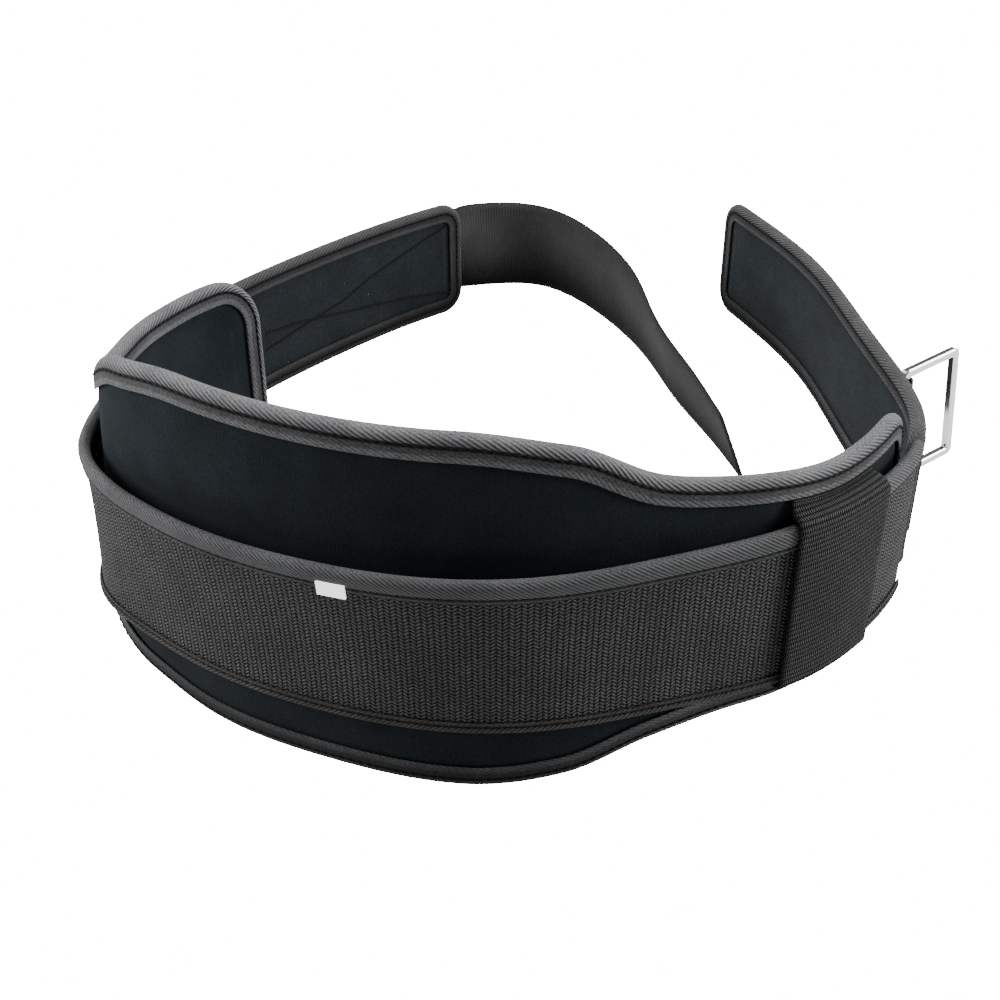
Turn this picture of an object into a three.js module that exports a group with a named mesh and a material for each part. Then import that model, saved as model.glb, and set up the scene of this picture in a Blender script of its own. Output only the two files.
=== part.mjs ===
// Weightlifting belt standing open on its lower edge, in millimetres, +Z up.
// The band is described by a plan line: distance s along its outer face, heading in degrees, s = 0 at the back.
import * as THREE from 'three';

// Main sizes
const WEB_HEIGHT = 76;            // wide webbing round the back
const WEB_THICK = 2.2;
const WING_HEIGHT = 68;           // soft end panels
const WING_LIFT = 6;              // wing's lower edge above the web's lower edge
const WING_CORNER = 14;
const STRAP_WIDTH = 49.5;         // two inch webbing
const STRAP_THICK = 1.6;
const STRAP_FREE = 278;           // free length beyond the left wing
const PAD_LENGTH = 576;           // along the wearer's back
const PAD_HEIGHT = 161;           // at its middle
const PAD_FACE = 5;               // pad's outer face behind the web's outer face
const PAD_THICK = 5.6;
const PAD_CORNER = 26;
const RING_HEIGHT = 58.7;
const RING_WIDTH = 40.5;
const RING_BAR = 4.2;
const RING_THICK = 4;
const TAPE = 0.9;                 // folded binding tape
const GAP = 0.3;                  // clearance between sewn pieces

// Stations along the band
const PAD_MIDDLE = -72;
const WEB_START = -356;
const WEB_END = 212;
const RIGHT_END = 516;
const LEFT_END = -555;
const KEEPER_NEAR = 190;          // keepers, measured from the pad's middle
const KEEPER_FAR = 262;
const WEB_BULGE = 7;              // web's upper edge stands out from the pad
const BULGE_HALF = 197;
const PAD_LEAVES = { right: 4, left: 29, from: 0.48, power: 2.2 };
const PAD_TILT = 4.6;              // pad's left end stands this much higher, its right end lower
const START = { x: -1.5, y: 0.2 };
const CORNER_LEAN = { middle: -225, half: 69, by: 5.7 };  // band leans in at its left turn
const FLOOR = { rise: 37.3, over: 388 };

// Plan line: heading of the band against distance along it
const HEADINGS = [
  { s: -545, heading: -142 },
  { s: -480, heading: -132.5 },
  { s: -410, heading: -127 },
  { s: -350, heading: -115 },
  { s: -300, heading: -100.5 },
  { s: -260, heading: -96 },
  { s: -225, heading: -86 },
  { s: -190, heading: -51 },
  { s: -150, heading: -40 },
  { s: -100, heading: -27 },
  { s: -50, heading: -16 },
  { s: 0, heading: 1 },
  { s: 50, heading: 16 },
  { s: 100, heading: 20 },
  { s: 150, heading: 41.5 },
  { s: 200, heading: 58 },
  { s: 260, heading: 89.5 },
  { s: 320, heading: 95.5 },
  { s: 380, heading: 96 },
  { s: 450, heading: 107.5 },
  { s: 515, heading: 110.5 },
];

// Pad outline: share of its half length from the middle, edge heights as shares of the pad's height
const PAD_OUTLINE = [
  { share: 0, top: 0.806, bottom: -0.193 },
  { share: 0.2, top: 0.809, bottom: -0.198 },
  { share: 0.35, top: 0.769, bottom: -0.172 },
  { share: 0.48, top: 0.662, bottom: -0.097 },
  { share: 0.62, top: 0.614, bottom: -0.055 },
  { share: 0.8, top: 0.578, bottom: -0.055 },
  { share: 1, top: 0.574, bottom: -0.053 },
];

// Free strap: share of its length, heading, climb and lean in degrees
const STRAP_LINE = [
  { share: 0, heading: 36, climb: -1.8, lean: -3 },
  { share: 0.04, heading: 24, climb: -1.9, lean: -14.5 },
  { share: 0.08, heading: 17, climb: -3, lean: -18.5 },
  { share: 0.13, heading: 7, climb: -4.2, lean: -15.5 },
  { share: 0.19, heading: -15, climb: -5.3, lean: -7 },
  { share: 0.25, heading: -38, climb: -6.5, lean: -2.7 },
  { share: 0.32, heading: -50.5, climb: -7.5, lean: 0 },
  { share: 0.4, heading: -59, climb: -8, lean: 2.6 },
  { share: 0.48, heading: -65.5, climb: -9, lean: 5.7 },
  { share: 0.57, heading: -74, climb: -10, lean: 10 },
  { share: 0.65, heading: -75.5, climb: -10, lean: 13.8 },
  { share: 0.74, heading: -70, climb: -9, lean: 17.2 },
  { share: 0.83, heading: -69, climb: -7.5, lean: 19.5 },
  { share: 0.91, heading: -73, climb: -7, lean: 21 },
  { share: 1, heading: -73, climb: -7, lean: 23 },
];
const STRAP_SEWN = { from: -500, to: -556, offset: 1.95, height: 42.5 };

// Ring and its loop, in the band's frame: the loop's line at mid height, its lean and the ring's heading
const RING = { x: 194.8, y: 182.9, z: 35.5, heading: 36, leanX: -5, leanY: 1.6, leanOver: 59 };
const TAB = { from: 236, leaves: 260, hole: 3.3, height: 49.4 };
const TAG = { middle: -59, width: 11, below: 6, drop: 6.3, thick: 0.45 };

const rad = (d) => (d * Math.PI) / 180;

// Natural cubic spline through rows (x, y)
function spline(xs, ys) {
  const n = xs.length;
  const m = new Array(n).fill(0);
  const c = new Array(n).fill(0);
  const d = new Array(n).fill(0);
  for (let i = 1; i < n - 1; i++) {
    const h0 = xs[i] - xs[i - 1];
    const h1 = xs[i + 1] - xs[i];
    const b = 2 * (h0 + h1) - h0 * c[i - 1];
    c[i] = h1 / b;
    d[i] = (6 * ((ys[i + 1] - ys[i]) / h1 - (ys[i] - ys[i - 1]) / h0) - h0 * d[i - 1]) / b;
  }
  for (let i = n - 2; i > 0; i--) m[i] = d[i] - c[i] * m[i + 1];
  return (x) => {
    let k = 0;
    while (k < n - 2 && x > xs[k + 1]) k++;
    const h = xs[k + 1] - xs[k];
    const t = Math.min(Math.max(x, xs[0]), xs[n - 1]);
    const a = (xs[k + 1] - t) / h;
    const b = (t - xs[k]) / h;
    const bend = ((a * a * a - a) * m[k] + (b * b * b - b) * m[k + 1]) * h * h / 6;
    return a * ys[k] + b * ys[k + 1] + bend;
  };
}

// Monotone cubic through rows, level at both ends
function smooth(xs, ys) {
  const n = xs.length;
  const g = new Array(n).fill(0);
  for (let i = 1; i < n - 1; i++) {
    const a = (ys[i] - ys[i - 1]) / (xs[i] - xs[i - 1]);
    const b = (ys[i + 1] - ys[i]) / (xs[i + 1] - xs[i]);
    g[i] = a * b > 0 ? (2 * a * b) / (a + b) : 0;
  }
  return (x) => {
    const t = Math.min(Math.max(x, xs[0]), xs[n - 1]);
    let k = 0;
    while (k < n - 2 && t > xs[k + 1]) k++;
    const h = xs[k + 1] - xs[k];
    const u = (t - xs[k]) / h;
    const p = u * u * (3 - 2 * u);
    return ys[k] * (1 - p) + ys[k + 1] * p + h * u * (1 - u) * (g[k] * (1 - u) - g[k + 1] * u);
  };
}

// Plan line, integrated in one millimetre steps both ways from the back
const headingOf = spline(HEADINGS.map((r) => r.s), HEADINGS.map((r) => r.heading));
const PLAN_FROM = -580;
const PLAN_TO = 540;
const planX = new Array(PLAN_TO - PLAN_FROM + 1);
const planY = new Array(PLAN_TO - PLAN_FROM + 1);
planX[-PLAN_FROM] = START.x;
planY[-PLAN_FROM] = START.y;
for (let s = 1; s <= PLAN_TO; s++) {
  const th = rad(headingOf(s - 0.5));
  planX[s - PLAN_FROM] = planX[s - 1 - PLAN_FROM] + Math.cos(th);
  planY[s - PLAN_FROM] = planY[s - 1 - PLAN_FROM] + Math.sin(th);
}
for (let s = -1; s >= PLAN_FROM; s--) {
  const th = rad(headingOf(s + 0.5));
  planX[s - PLAN_FROM] = planX[s + 1 - PLAN_FROM] - Math.cos(th);
  planY[s - PLAN_FROM] = planY[s + 1 - PLAN_FROM] - Math.sin(th);
}

// Point at distance s, offset outwards from the plan line, height z
function at(s, off, z) {
  const near = Math.max(0, 1 - ((s - CORNER_LEAN.middle) / CORNER_LEAN.half) ** 2);
  const out = off - CORNER_LEAN.by * near * near * (z / WEB_HEIGHT);
  const k = Math.min(Math.max(Math.floor(s - PLAN_FROM), 0), PLAN_TO - PLAN_FROM - 1);
  const f = s - PLAN_FROM - k;
  const th = rad(headingOf(s));
  const x = planX[k] * (1 - f) + planX[k + 1] * f;
  const y = planY[k] * (1 - f) + planY[k + 1] * f;
  return new THREE.Vector3(x + out * Math.sin(th), y - out * Math.cos(th), z);
}

// Shared stations, closer together where the band turns sharply
const stations = [];
for (let s = LEFT_END; s < RIGHT_END;) {
  stations.push(s);
  if (s < -370) s += 15;
  else if (s < -245) s += 12;
  else if (s < -175) s += 7;
  else if (s < 130) s += 12;
  else if (s < 250) s += 9;
  else s += 15;
}
const between = (a, b) => [a, ...stations.filter((s) => s > a + 3 && s < b - 3), b];

// Solid from triangles, turned so that it faces outwards
function solid(name, points, tris, look) {
  let volume = 0;
  for (let i = 0; i < tris.length; i += 3) {
    const a = points[tris[i]];
    const b = points[tris[i + 1]];
    const c = points[tris[i + 2]];
    volume += a.dot(new THREE.Vector3().crossVectors(b, c));
  }
  const order = volume < 0 ? tris.slice().reverse() : tris;
  const flat = [];
  for (const p of points) flat.push(p.x, p.y, p.z);
  const geo = new THREE.BufferGeometry();
  geo.setAttribute('position', new THREE.Float32BufferAttribute(flat, 3));
  geo.setIndex(order);
  geo.computeVertexNormals();
  const mesh = new THREE.Mesh(geo, new THREE.MeshStandardMaterial(look));
  mesh.name = name;
  return mesh;
}

// Quads between two loops of equal count
function wall(tris, first, second, count, closed) {
  const last = closed ? count : count - 1;
  for (let i = 0; i < last; i++) {
    const j = (i + 1) % count;
    tris.push(first + i, first + j, second + j, first + i, second + j, second + i);
  }
}

// Flat polygon, with holes, as triangles that run the same way as its outline
function fill(outline, holes) {
  const faces = THREE.ShapeUtils.triangulateShape(outline, holes);
  const all = outline.concat(...holes);
  const area = (a, b, c) => (b.x - a.x) * (c.y - a.y) - (c.x - a.x) * (b.y - a.y);
  const way = THREE.ShapeUtils.area(outline) > 0 ? 1 : -1;
  return faces.map(([a, b, c]) => (area(all[a], all[b], all[c]) * way > 0 ? [a, b, c] : [a, c, b]));
}

// Solid swept through loops; section is the flat polygon used for both ends, holes follow the outline
function swept(name, loops, section, holes, look) {
  const points = loops.flat();
  const m = loops[0].length;
  const parts = [section.length, ...holes.map((h) => h.length)];
  const tris = [];
  for (let k = 0; k < loops.length - 1; k++) {
    let start = 0;
    for (const n of parts) {
      wall(tris, k * m + start, (k + 1) * m + start, n, true);
      start += n;
    }
  }
  const base = (loops.length - 1) * m;
  for (const [a, b, c] of fill(section, holes)) {
    tris.push(a, c, b);
    tris.push(base + a, base + b, base + c);
  }
  return solid(name, points, tris, look);
}

// Band piece: at each station a loop of (offset, height)
function band(name, list, loopAt, look) {
  const flats = list.map((s) => loopAt(s));
  const loops = flats.map((loop, i) => loop.map(([o, z]) => at(list[i], o, z)));
  const section = flats[0].map(([o, z]) => new THREE.Vector2(o, z));
  return swept(name, loops, section, [], look);
}

// Outline with rounded corners as two matching halves, each point with its inward direction
function outline(left, right, radius, topAt, bottomAt) {
  const steps = 6;
  const top = [];
  const bottom = [];
  const list = between(left + radius, right - radius);
  for (let i = 0; i < steps; i++) {
    const a = (i / steps) * Math.PI / 2;
    const s = left + radius - radius * Math.cos(a);
    const rise = radius * (1 - Math.sin(a));
    top.push([s, topAt(s) - rise]);
    bottom.push([s, bottomAt(s) + rise]);
  }
  for (const s of list) {
    top.push([s, topAt(s)]);
    bottom.push([s, bottomAt(s)]);
  }
  for (let i = steps - 1; i >= 0; i--) {
    const a = (i / steps) * Math.PI / 2;
    const s = right - radius + radius * Math.cos(a);
    const rise = radius * (1 - Math.sin(a));
    top.push([s, topAt(s) - rise]);
    bottom.push([s, bottomAt(s) + rise]);
  }
  const ring = top.concat(bottom.slice().reverse());
  const n = ring.length;
  return ring.map((p, i) => {
    const a = ring[(i + n - 1) % n];
    const b = ring[(i + 1) % n];
    const ua = Math.hypot(p[0] - a[0], p[1] - a[1]);
    const ub = Math.hypot(b[0] - p[0], b[1] - p[1]);
    const tx = (p[0] - a[0]) / ua + (b[0] - p[0]) / ub;
    const tz = (p[1] - a[1]) / ua + (b[1] - p[1]) / ub;
    const len = Math.hypot(tx, tz);
    return { s: p[0], z: p[1], ins: tz / len, inz: -tx / len };
  });
}

// Panel with a rounded outline: edge thinner than the middle, the tape covers the slope
function panel(name, path, inset, faces, edges, shift, look) {
  const rows = [
    [inset, faces[0]],
    [0, edges[0]],
    [0, edges[1]],
    [inset, faces[1]],
  ];
  const m = path.length;
  const n = m / 2;
  const points = [];
  for (const [d, o] of rows) {
    for (const p of path) {
      const s = p.s + (d + GAP + TAPE) * p.ins;
      points.push(at(s, o - shift(s), p.z + (d + GAP + TAPE) * p.inz));
    }
  }
  const tris = [];
  for (let k = 0; k < rows.length - 1; k++) wall(tris, k * m, (k + 1) * m, m, true);
  const far = (rows.length - 1) * m;
  for (let j = 0; j < n - 1; j++) {
    const b0 = m - 1 - j;
    const b1 = m - 2 - j;
    tris.push(j + 1, j, b0, j + 1, b0, b1);
    tris.push(far + j, far + j + 1, far + b1, far + j, far + b1, far + b0);
  }
  return solid(name, points, tris, look);
}

// Folded tape section: depth inwards from the outer edge, offset across the panel
function fold(leg, inset, faces, edges) {
  const share = leg / inset;
  const out = edges[0] + (faces[0] - edges[0]) * share;
  const inn = edges[1] + (faces[1] - edges[1]) * share;
  const mid = (edges[0] + edges[1]) / 2;
  const c = GAP + TAPE;
  return [
    [leg + c, out + GAP],
    [leg + c, out + c],
    [1.4 + c, edges[0] + c + 0.1],
    [0.35, edges[0] + c * 0.55],
    [-0.35, mid],
    [0.35, edges[1] - c * 0.55],
    [1.4 + c, edges[1] - c - 0.1],
    [leg + c, inn - c],
    [leg + c, inn - GAP],
    [TAPE, edges[1] - GAP],
    [TAPE, edges[0] + GAP],
  ];
}

// Tape round a closed outline
function boundRound(name, path, section, shift, look) {
  const points = [];
  for (const p of path) {
    for (const [d, o] of section) {
      const s = p.s + d * p.ins;
      points.push(at(s, o - shift(s), p.z + d * p.inz));
    }
  }
  const tris = [];
  const m = section.length;
  for (let k = 0; k < path.length; k++) wall(tris, k * m, ((k + 1) % path.length) * m, m, true);
  return solid(name, points, tris, look);
}

// Loop round a centre line of (offset, height) at a given thickness
function ribbon(line, thick) {
  const left = [];
  const right = [];
  line.forEach((p, i) => {
    const a = line[Math.max(i - 1, 0)];
    const b = line[Math.min(i + 1, line.length - 1)];
    const la = Math.hypot(p[0] - a[0], p[1] - a[1]) || 1;
    const lb = Math.hypot(b[0] - p[0], b[1] - p[1]) || 1;
    let tx = (p[0] - a[0]) / la + (b[0] - p[0]) / lb;
    let ty = (p[1] - a[1]) / la + (b[1] - p[1]) / lb;
    const len = Math.hypot(tx, ty);
    tx /= len;
    ty /= len;
    const w = thick / 2;
    left.push([p[0] - ty * w, p[1] + tx * w]);
    right.push([p[0] + ty * w, p[1] - tx * w]);
  });
  return left.concat(right.reverse());
}

const belt = new THREE.Group();
belt.name = 'weightlifting_belt';

// Looks
const knit = { color: 0x1a1f24, roughness: 0.95, metalness: 0 };
const velvet = { color: 0x23282c, roughness: 1, metalness: 0 };
const tape = { color: 0x3c3c3f, roughness: 0.85, metalness: 0 };
const webbing = { color: 0x333335, roughness: 0.8, metalness: 0 };
const metal = { color: 0xd8d8d4, roughness: 0.15, metalness: 1 };
const white = { color: 0xeeeeee, roughness: 0.8, metalness: 0 };

// Back pad and its tape; the pad's ends leave the band and stand further in
const padHalf = PAD_LENGTH / 2;
const shares = PAD_OUTLINE.map((r) => r.share);
const padTopOf = smooth(shares, PAD_OUTLINE.map((r) => r.top * PAD_HEIGHT));
const padBottomOf = smooth(shares, PAD_OUTLINE.map((r) => r.bottom * PAD_HEIGHT));
const padSide = (s) => (s - PAD_MIDDLE) / padHalf;
const padTop = (s) => padTopOf(Math.abs(padSide(s))) - PAD_TILT * padSide(s);
const padBottom = (s) => padBottomOf(Math.abs(padSide(s))) - PAD_TILT * padSide(s);
const padShift = (s) => {
  const far = Math.min(Math.max((Math.abs(padSide(s)) - PAD_LEAVES.from) / (1 - PAD_LEAVES.from), 0), 1);
  return (s > PAD_MIDDLE ? PAD_LEAVES.right : PAD_LEAVES.left) * far ** PAD_LEAVES.power;
};
const padPath = outline(PAD_MIDDLE - padHalf, PAD_MIDDLE + padHalf, PAD_CORNER, padTop, padBottom);
const padFaces = [-PAD_FACE, -PAD_FACE - PAD_THICK];
const padEdges = [-PAD_FACE - 1.2, -PAD_FACE - PAD_THICK + 1.2];
const padLeg = 9;
const padInset = padLeg + 0.8;
belt.add(panel('back_pad', padPath, padInset, padFaces, padEdges, padShift, knit));
const padFold = fold(padLeg, padInset, padFaces, padEdges);
belt.add(boundRound('back_pad_binding', padPath, padFold, padShift, tape));

// Web: wide webbing whose upper edge stands out from the pad
const bulge = (s) => WEB_BULGE * Math.max(0, 1 - ((s - PAD_MIDDLE) / BULGE_HALF) ** 2);
const lift = (s, z) => bulge(s) * (z / WEB_HEIGHT) ** 2;
const webEdge = GAP + TAPE;
const webList = between(WEB_START, WEB_END);
const webRows = [0, 0.25, 0.5, 0.75, 1];
belt.add(band('web_panel', webList, (s) => {
  const heights = webRows.map((r) => webEdge + (WEB_HEIGHT - 2 * webEdge) * r);
  const face = heights.map((z) => [lift(s, z), z]);
  const back = heights.slice().reverse().map((z) => [lift(s, z) - WEB_THICK, z]);
  return face.concat(back);
}, webbing));

// Web's folded tapes, top wide and bottom narrow
function webFold(leg, upward) {
  return (s) => {
    const c = GAP + TAPE;
    const edge = upward ? WEB_HEIGHT : 0;
    const way = upward ? -1 : 1;
    const roll = 0.5;
    const rows = [
      [leg + c, GAP],
      [leg + c, c],
      [1.2 + c, c + roll],
      [0.35, GAP + roll],
      [0, -WEB_THICK / 2],
      [0.35, -WEB_THICK - GAP - roll * 0.2],
      [1.2 + c, -WEB_THICK - c],
      [leg + c, -WEB_THICK - c],
      [leg + c, -WEB_THICK - GAP],
      [TAPE, -WEB_THICK - GAP],
      [TAPE, GAP],
    ];
    return rows.map(([d, o]) => {
      const z = edge + way * d;
      return [o + lift(s, z), z];
    });
  };
}
belt.add(band('web_top_binding', webList, webFold(8.5, true), tape));
belt.add(band('web_bottom_binding', webList, webFold(4, false), tape));

// Keepers: webbing bands over the web, ends under the pad's tape
function keeper(name, from, to) {
  const thick = 1.5;
  const list = between(from, to);
  belt.add(band(name, list, (s) => {
    const skin = -PAD_FACE - padShift(s);
    const high = padTop(s) - GAP - TAPE - padLeg - GAP - 0.4;
    const low = -1.9;
    const line = [
      [skin + GAP + thick / 2, high],
      [skin + GAP + thick / 2 + 0.1, high - 1.5],
      [Math.max(skin + 2.2, -2.2), WEB_HEIGHT + 3.7],
      [0.7, WEB_HEIGHT + 2.8],
      [2.8, WEB_HEIGHT + 0.6],
      [3.3, WEB_HEIGHT - 3],
      [3.1, 38],
      [3, 3],
      [2.6, 0],
      [1, low + 0.1],
      [-0.6, low - 0.2],
      [skin + GAP + TAPE + 0.6, low - 0.3],
    ];
    return ribbon(line, thick);
  }, webbing));
}
keeper('keeper_right', PAD_MIDDLE + KEEPER_NEAR, PAD_MIDDLE + KEEPER_FAR);
keeper('keeper_left', PAD_MIDDLE - KEEPER_FAR, PAD_MIDDLE - KEEPER_NEAR);

// Wings: soft end panels with a rounded free end, and their tapes
const wingFaces = [-0.9, -4.9];
const wingEdges = [-1.3, -4.5];
const wingLeg = 8;
const wingInset = wingLeg + 0.8;
const wingFold = fold(wingLeg, wingInset, wingFaces, wingEdges);
const wingTop = () => WING_LIFT + WING_HEIGHT;
const wingBottom = () => WING_LIFT;
const still = () => 0;
const rightPath = outline(WEB_END + 0.5, RIGHT_END, WING_CORNER, wingTop, wingBottom);
const leftPath = outline(LEFT_END, WEB_START - 0.5, WING_CORNER, wingTop, wingBottom);
belt.add(panel('right_wing', rightPath, wingInset, wingFaces, wingEdges, still, velvet));
belt.add(boundRound('right_wing_binding', rightPath, wingFold, still, tape));
belt.add(panel('left_wing', leftPath, wingInset, wingFaces, wingEdges, still, velvet));
belt.add(boundRound('left_wing_binding', leftPath, wingFold, still, tape));

// Strap: sewn on the outside of the left wing, then free, leaning and curving
const strapRows = STRAP_LINE.map((r) => r.share);
const strapHeading = spline(strapRows, STRAP_LINE.map((r) => r.heading));
const strapClimb = spline(strapRows, STRAP_LINE.map((r) => r.climb));
const strapLean = spline(strapRows, STRAP_LINE.map((r) => r.lean));
const strapLoops = [];
function strapLoop(centre, heading, climb, lean) {
  const t = new THREE.Vector3(
    Math.cos(rad(heading)) * Math.cos(rad(climb)),
    Math.sin(rad(heading)) * Math.cos(rad(climb)),
    Math.sin(rad(climb)));
  const side = new THREE.Vector3(t.y, -t.x, 0).normalize();
  const up = new THREE.Vector3().crossVectors(side, t);
  const w = up.clone().multiplyScalar(Math.cos(rad(lean))).addScaledVector(side, Math.sin(rad(lean)));
  const n = new THREE.Vector3().crossVectors(t, w);
  const h = STRAP_WIDTH / 2;
  const q = STRAP_THICK / 2;
  const corner = (a, b) => centre.clone().addScaledVector(w, a).addScaledVector(n, b);
  strapLoops.push([corner(-h, -q), corner(-h, q), corner(h, q), corner(h, -q)]);
}
const sewnLength = STRAP_SEWN.from - STRAP_SEWN.to;
for (let i = 0; i < 4; i++) {
  const s = STRAP_SEWN.from - (sewnLength * i) / 4;
  strapLoop(at(s, STRAP_SEWN.offset, STRAP_SEWN.height), headingOf(s) + 180, 0, 0);
}
const strapPoint = at(STRAP_SEWN.to, STRAP_SEWN.offset, STRAP_SEWN.height);
const strapSteps = 36;
for (let i = 0; i <= strapSteps; i++) {
  const u = i / strapSteps;
  strapLoop(strapPoint, strapHeading(u), strapClimb(u), strapLean(u));
  const fine = 8;
  for (let k = 0; k < fine; k++) {
    const v = u + (k + 0.5) / (fine * strapSteps);
    const step = STRAP_FREE / (strapSteps * fine);
    strapPoint.x += Math.cos(rad(strapHeading(v))) * Math.cos(rad(strapClimb(v))) * step;
    strapPoint.y += Math.sin(rad(strapHeading(v))) * Math.cos(rad(strapClimb(v))) * step;
    strapPoint.z += Math.sin(rad(strapClimb(v))) * step;
  }
}
const strapSection = [[-1, -1], [-1, 1], [1, 1], [1, -1]].map(([a, b]) => new THREE.Vector2(a, b));
belt.add(swept('strap', strapLoops, strapSection, [], webbing));

// Ring: upright direction from its lean, then its own plane
const ringUp = new THREE.Vector3(RING.leanX, RING.leanY, RING.leanOver).normalize();
const ringOut = new THREE.Vector3(Math.cos(rad(RING.heading)), Math.sin(rad(RING.heading)), 0);
ringOut.addScaledVector(ringUp, -ringOut.dot(ringUp)).normalize();
const ringFace = new THREE.Vector3().crossVectors(ringOut, ringUp);
const ringFoot = new THREE.Vector3(RING.x, RING.y, RING.z);
function rounded(x0, x1, y0, y1, r, steps) {
  const pts = [];
  const spots = [[x1 - r, y1 - r, 0], [x0 + r, y1 - r, 90], [x0 + r, y0 + r, 180], [x1 - r, y0 + r, 270]];
  for (const [cx, cy, a0] of spots) {
    for (let i = 0; i <= steps; i++) {
      const a = rad(a0 + (90 * i) / steps);
      pts.push([cx + r * Math.cos(a), cy + r * Math.sin(a)]);
    }
  }
  return pts;
}
const ringHalf = RING_HEIGHT / 2;
const ringLeft = -RING_BAR / 2;
const ringRight = ringLeft + RING_WIDTH;
const cham = 0.6;
const ringRings = [
  [0, RING_THICK / 2 - cham],
  [cham, RING_THICK / 2],
  [RING_BAR - cham, RING_THICK / 2],
  [RING_BAR, RING_THICK / 2 - cham],
  [RING_BAR, -RING_THICK / 2 + cham],
  [RING_BAR - cham, -RING_THICK / 2],
  [cham, -RING_THICK / 2],
  [0, -RING_THICK / 2 + cham],
];
const ringPoints = [];
const ringSteps = 4;
for (const [d, n] of ringRings) {
  const r = Math.max(3.4 - d * 0.65, 0.5);
  for (const [x, y] of rounded(ringLeft + d, ringRight - d, -ringHalf + d, ringHalf - d, r, ringSteps)) {
    const p = ringFoot.clone().addScaledVector(ringOut, x).addScaledVector(ringUp, y);
    ringPoints.push(p.addScaledVector(ringFace, n));
  }
}
const ringCount = 4 * (ringSteps + 1);
const ringTris = [];
for (let k = 0; k < ringRings.length; k++) {
  wall(ringTris, k * ringCount, ((k + 1) % ringRings.length) * ringCount, ringCount, true);
}
belt.add(solid('buckle_ring', ringPoints, ringTris, metal));

// Tab: webbing sewn flat on the right wing, looped round the ring's inner bar
const tabLoops = [];
let tabSection = null;
let tabHole = null;
for (const share of [-0.5, -0.17, 0.17, 0.5]) {
  const rise = TAB.height * share;
  const eye = ringFoot.clone().addScaledVector(ringUp, rise);
  const near = [];
  const far = [];
  for (let s = TAB.from; s <= TAB.leaves; s += 8) {
    near.push(at(s, 0.65, eye.z));
    far.push(at(s, 0.65 + 2 * STRAP_THICK, eye.z));
  }
  const root = at(TAB.leaves, 0.65 + STRAP_THICK, eye.z);
  const run = new THREE.Vector2(eye.x - root.x, eye.y - root.y);
  const dir = run.clone().normalize();
  const nrm = new THREE.Vector2(dir.y, -dir.x);
  const R = TAB.hole + STRAP_THICK;
  const spot = (a, b) => new THREE.Vector3(eye.x + dir.x * a + nrm.x * b, eye.y + dir.y * a + nrm.y * b, eye.z);
  const outer = far.slice();
  outer.push(spot(-13, STRAP_THICK + 0.3), spot(-7, STRAP_THICK * 1.9));
  for (let i = 0; i <= 8; i++) {
    const a = rad(115 - (230 * i) / 8);
    outer.push(spot(R * Math.cos(a), R * Math.sin(a)));
  }
  outer.push(spot(-7, -STRAP_THICK * 1.9), spot(-13, -STRAP_THICK - 0.3));
  outer.push(...near.reverse());
  const hole = [];
  for (let i = 0; i < 14; i++) {
    const a = (i / 14) * 2 * Math.PI;
    hole.push(spot(TAB.hole * Math.cos(a), TAB.hole * Math.sin(a)));
  }
  const flat = (list) => list.map((p) => new THREE.Vector2(p.x, p.y));
  const way = THREE.ShapeUtils.area(flat(outer)) > 0;
  const holeWay = THREE.ShapeUtils.area(flat(hole)) > 0;
  if (way === holeWay) hole.reverse();
  tabLoops.push(outer.concat(hole));
  tabSection = flat(outer);
  tabHole = flat(hole);
}
belt.add(swept('buckle_tab', tabLoops, tabSection, [tabHole], webbing));

// Size tag: small folded tag over the lower part of the web's upper tape
const tagStand = 1.5 + GAP;
const tagList = [TAG.middle - TAG.width / 2, TAG.middle, TAG.middle + TAG.width / 2];
belt.add(band('size_tag', tagList, (s) => {
  const high = WEB_HEIGHT - TAG.below;
  const rows = [high, high - TAG.drop / 2, high - TAG.drop];
  const near = rows.map((z) => [lift(s, z) + tagStand, z]);
  const far = rows.slice().reverse().map((z) => [lift(s, z) + tagStand + 2 * TAG.thick, z]);
  return near.concat(far);
}, white));

// Stand the belt on a level surface: tilt it onto its lowest edges, then centre it over the origin
belt.rotation.x = -Math.atan2(FLOOR.rise, FLOOR.over);
belt.updateMatrixWorld(true);
const box = new THREE.Box3().setFromObject(belt, true);
const middle = box.getCenter(new THREE.Vector3());
belt.position.set(-middle.x, -middle.y, -box.min.z);
belt.updateMatrixWorld(true);

export default belt;
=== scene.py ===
import math

import bpy
import numpy as np
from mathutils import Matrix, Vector


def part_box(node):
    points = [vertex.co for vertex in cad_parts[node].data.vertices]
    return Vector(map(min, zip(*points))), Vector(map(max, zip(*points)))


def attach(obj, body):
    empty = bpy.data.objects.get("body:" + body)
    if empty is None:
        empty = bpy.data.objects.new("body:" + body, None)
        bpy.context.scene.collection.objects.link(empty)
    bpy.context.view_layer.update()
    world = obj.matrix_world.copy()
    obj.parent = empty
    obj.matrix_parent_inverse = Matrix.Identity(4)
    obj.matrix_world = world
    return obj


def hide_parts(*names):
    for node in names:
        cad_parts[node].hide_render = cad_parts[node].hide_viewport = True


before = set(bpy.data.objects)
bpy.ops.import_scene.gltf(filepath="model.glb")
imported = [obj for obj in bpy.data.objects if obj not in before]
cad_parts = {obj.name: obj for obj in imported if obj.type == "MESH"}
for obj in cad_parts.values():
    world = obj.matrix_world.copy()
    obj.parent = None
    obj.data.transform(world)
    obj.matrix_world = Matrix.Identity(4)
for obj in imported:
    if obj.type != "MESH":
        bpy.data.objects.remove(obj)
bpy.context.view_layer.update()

# Back pad
# A contoured foam panel faced outside with smooth knitted cloth and inside with brushed cloth, tall in the
# middle. It follows the band's plan line, and its ends leave the band and stand further in.
MM = 0.001
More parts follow.
